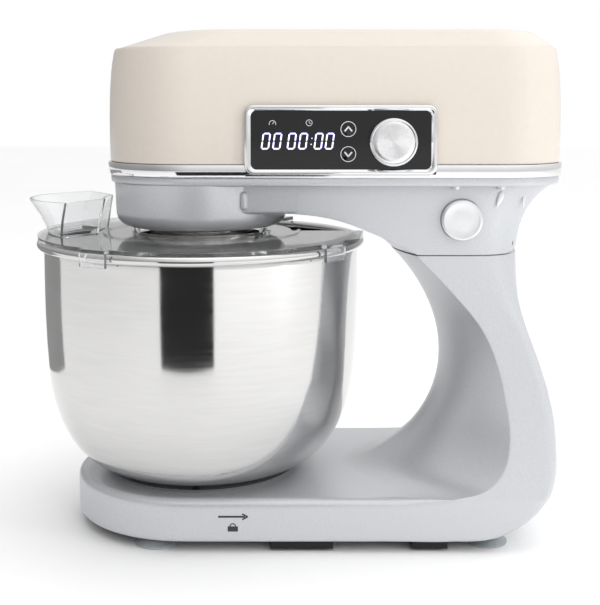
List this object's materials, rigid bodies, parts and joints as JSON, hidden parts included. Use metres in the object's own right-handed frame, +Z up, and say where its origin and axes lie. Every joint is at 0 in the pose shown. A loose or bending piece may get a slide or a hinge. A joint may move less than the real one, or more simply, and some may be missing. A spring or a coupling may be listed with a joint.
{
  "type": "stand mixer",
  "caption": "Tilt-head stand mixer: steel bowl locked on a low base, curved column, planetary drive with flat beater, display panel, splash guard and feed chute.",
  "frame": {"origin": "on the table under the bowl's axis, at the height of the feet's lowest rings", "axes": "+X from the bowl to the column, +Y from the display side to the far side, +Z up"},
  "size_m": [0.362, 0.2244, 0.335],
  "materials": {
    "silver_enamel": "silver pearl enamel, satin",
    "cream_enamel": "cream enamel, gloss",
    "polished_steel": "mirror-polished stainless steel",
    "chrome_trim": "bright chrome",
    "brushed_trim": "satin, radially brushed",
    "plain_steel": "machined or zinc plated",
    "dark_steel": "phosphated",
    "cast_aluminium": "cast and burnished",
    "black_plastic": "fine grain",
    "grey_plastic": "fine grain",
    "black_window": "high gloss",
    "clear_plastic": "clear, gloss",
    "foot_rubber": "grey, soft",
    "black_rubber": "matt",
    "nylon": "natural nylon",
    "bronze": "sintered bronze",
    "copper": "lacquered copper winding",
    "carbon": "pressed graphite",
    "board": "printed circuit board"
  },
  "bodies": {
    "stand": {"stand_shell": "silver_enamel", "base_plate": "black_plastic", "base_plate_screws": "dark_steel", "suction_feet": "foot_rubber", "foot_screws": "dark_steel", "rubber_pads": "black_rubber", "bowl_lock_ring": "grey_plastic", "lock_ring_screws": "dark_steel", "cord_gland": "black_plastic", "hinge_bracket": "plain_steel", "hinge_screws": "dark_steel", "hinge_pin": "plain_steel", "pin_clips": "dark_steel", "latch_keeper": "plain_steel"},
    "bowl": {"mixing_bowl": "polished_steel", "bowl_foot": "polished_steel"},
    "head": {"head_housing": "silver_enamel", "head_cover": "cream_enamel", "trim_band": "chrome_trim", "cover_screws": "dark_steel", "chassis_plate": "plain_steel", "ring_gear": "nylon", "ring_gear_screws": "dark_steel", "main_bush": "bronze", "layshaft_pin": "plain_steel", "gear_bridge": "plain_steel", "drive_bushes": "bronze", "drive_belt": "black_rubber", "motor_brackets": "dark_steel", "motor_bolts": "plain_steel", "motor_stator": "dark_steel", "field_coils": "copper", "carbon_brushes": "carbon", "power_board": "board", "control_board": "board", "display_bezel": "chrome_trim", "display_window": "black_window", "speed_encoder": "black_plastic", "splash_guard": "clear_plastic"},
    "carrier": {"planet_carrier": "plain_steel", "hub_dome": "brushed_trim", "carrier_gear": "nylon"},
    "tool": {"planet_gear": "plain_steel", "tool_shaft": "plain_steel", "flat_beater": "cast_aluminium"},
    "layshaft": {"layshaft_gears": "nylon"},
    "drive": {"drive_shaft": "plain_steel", "large_pulley": "nylon"},
    "rotor": {"armature": "copper", "motor_shaft": "plain_steel", "cooling_fan": "black_plastic", "motor_pulley": "plain_steel"},
    "release": {"release_button": "brushed_trim", "latch_slide": "black_plastic", "release_spring": "plain_steel"},
    "speed_dial": {"speed_knob": "chrome_trim", "knob_cap": "brushed_trim"},
    "up_key": {"up_button": "black_window"},
    "down_key": {"down_button": "black_window"},
    "chute": {"feed_chute": "clear_plastic"}
  },
  "joints": [
    {"name": "head_tilt", "type": "hinge", "parent": "stand", "child": "head", "pos_m": [0.204, 0, 0.194], "axis": [0, 1, 0], "range_deg": [0, 30]},
    {"name": "bowl_twist", "type": "hinge", "parent": "stand", "child": "bowl", "pos_m": [0, 0, 0.0365], "axis": [0, 0, 1], "range_deg": [-36, 0]},
    {"name": "carrier_spin", "type": "hinge", "parent": "head", "child": "carrier", "pos_m": [0, 0, 0.24], "axis": [0, 0, 1], "continuous": true},
    {"name": "tool_spin", "type": "hinge", "parent": "carrier", "child": "tool", "pos_m": [0.021, 0, 0.2], "axis": [0, 0, 1], "continuous": true},
    {"name": "layshaft_spin", "type": "hinge", "parent": "head", "child": "layshaft", "pos_m": [0.039, 0, 0.25], "axis": [0, 0, 1], "continuous": true},
    {"name": "drive_spin", "type": "hinge", "parent": "head", "child": "drive", "pos_m": [0, 0, 0.28], "axis": [0, 0, 1], "continuous": true},
    {"name": "motor_spin", "type": "hinge", "parent": "head", "child": "rotor", "pos_m": [0.15, 0, 0.26], "axis": [0, 0, 1], "continuous": true},
    {"name": "speed_turn", "type": "hinge", "parent": "head", "child": "speed_dial", "pos_m": [0.1264, -0.06, 0.2619], "axis": [0, -1, 0], "continuous": true},
    {"name": "release_push", "type": "slide", "parent": "head", "child": "release", "axis": [0, 1, 0], "range_m": [0, 0.005], "stiffness_N_per_m": 500, "springref_m": -0.004},
    {"name": "up_press", "type": "slide", "parent": "head", "child": "up_key", "axis": [0, 1, 0], "range_m": [0, 0.0008], "stiffness_N_per_m": 500, "springref_m": -0.0006},
    {"name": "down_press", "type": "slide", "parent": "head", "child": "down_key", "axis": [0, 1, 0], "range_m": [0, 0.0008], "stiffness_N_per_m": 500, "springref_m": -0.0006},
    {"name": "chute_lift", "type": "slide", "parent": "head", "child": "chute", "axis": [0, 0, 1], "range_m": [0, 0.045]}
  ],
  "couplings": [
    {"joint": "tool_spin", "follows": "carrier_spin", "ratio": -3},
    {"joint": "layshaft_spin", "follows": "carrier_spin", "ratio": -4},
    {"joint": "drive_spin", "follows": "carrier_spin", "ratio": 16},
    {"joint": "motor_spin", "follows": "carrier_spin", "ratio": 80}
  ]
}
